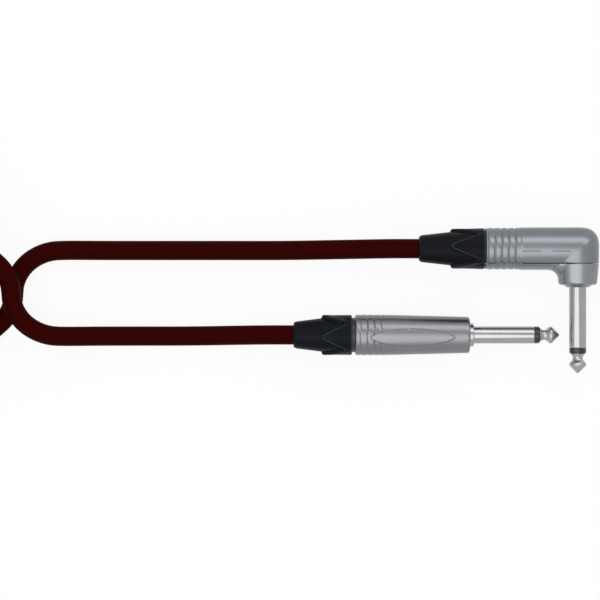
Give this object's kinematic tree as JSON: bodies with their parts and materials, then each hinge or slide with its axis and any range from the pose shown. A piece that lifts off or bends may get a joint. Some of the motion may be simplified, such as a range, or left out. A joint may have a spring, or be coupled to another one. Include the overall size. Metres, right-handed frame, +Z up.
{
  "type": "instrument cable",
  "caption": "Shielded instrument cord with a straight phone plug at one end and a right-angle phone plug at the other; the spare cord is folded into a tied hank.",
  "frame": {"origin": "on the surface that the plugs lie on, under the centre of the box round both plugs", "axes": "+X from the cord towards the plugs along both barrels; +Y from the straight plug towards the angle plug; +Z up; the angle plug's finger points along -Y"},
  "size_m": [0.3879, 0.0678, 0.0339],
  "materials": {
    "cord_jacket": "satin flexible jacket, dark maroon",
    "tie": "woven hook-and-loop strap",
    "shell_metal": "satin nickel on die-cast metal",
    "base_metal": "satin nickel on die-cast metal",
    "boot_rubber": "matt black",
    "gland_plastic": "matt black",
    "chuck_plastic": "natural acetal",
    "braid": "braided bare copper",
    "core_plastic": "natural polyethylene",
    "wire": "bare copper strand",
    "liner_plastic": "thin black insulating sleeve",
    "contact_metal": "polished nickel",
    "ring_plastic": "black",
    "insulator_plastic": "natural plastic",
    "lug_metal": "tinned",
    "solder": "bright solder"
  },
  "bodies": {
    "cable": {"cord_run_straight": "cord_jacket", "cord_run_angle": "cord_jacket", "cord_hank": "cord_jacket", "hank_tie": "tie", "straight_shell": "shell_metal", "angle_housing": "shell_metal", "angle_base": "base_metal", "straight_jacket_end": "cord_jacket", "angle_jacket_end": "cord_jacket", "straight_shield": "braid", "angle_shield": "braid", "straight_core": "core_plastic", "angle_core": "core_plastic", "straight_wire": "wire", "angle_wire": "wire", "straight_liner": "liner_plastic", "angle_liner": "liner_plastic", "straight_sleeve": "contact_metal", "angle_sleeve": "contact_metal", "straight_ring": "ring_plastic", "angle_ring": "ring_plastic", "straight_tip": "contact_metal", "angle_tip": "contact_metal", "straight_tube": "insulator_plastic", "angle_tube": "insulator_plastic", "straight_rear_insulator": "insulator_plastic", "angle_rear_insulator": "insulator_plastic", "straight_sleeve_lug": "lug_metal", "angle_sleeve_lug": "lug_metal", "straight_tip_lug": "lug_metal", "angle_tip_lug": "lug_metal", "straight_sleeve_solder": "solder", "angle_sleeve_solder": "solder", "straight_tip_solder": "solder", "angle_tip_solder": "solder"},
    "straight_clamp": {"straight_chuck": "chuck_plastic"},
    "straight_nut": {"straight_gland": "gland_plastic", "straight_boot": "boot_rubber"},
    "angle_clamp": {"angle_chuck": "chuck_plastic"},
    "angle_nut": {"angle_gland": "gland_plastic", "angle_boot": "boot_rubber"}
  },
  "joints": [
    {"name": "straight_clamp_slide", "type": "slide", "parent": "cable", "child": "straight_clamp", "axis": [-1, 0, 0], "range_m": [0, 0.005]},
    {"name": "straight_nut_turn", "type": "hinge", "parent": "straight_clamp", "child": "straight_nut", "pos_m": [-0.05651, -0.01282, 0.0075], "axis": [-1, 0, 0], "range_deg": [0, 1800]},
    {"name": "angle_clamp_slide", "type": "slide", "parent": "cable", "child": "angle_clamp", "axis": [-1, 0, 0], "range_m": [0, 0.005]},
    {"name": "angle_nut_turn", "type": "hinge", "parent": "angle_clamp", "child": "angle_nut", "pos_m": [-0.01009, 0.01908, 0.0079], "axis": [-1, 0, 0], "range_deg": [0, 1800]}
  ],
  "couplings": [
    {"joint": "straight_nut_turn", "follows": "straight_clamp_slide", "rad_per_m": 6283.2},
    {"joint": "angle_nut_turn", "follows": "angle_clamp_slide", "rad_per_m": 6283.2}
  ]
}
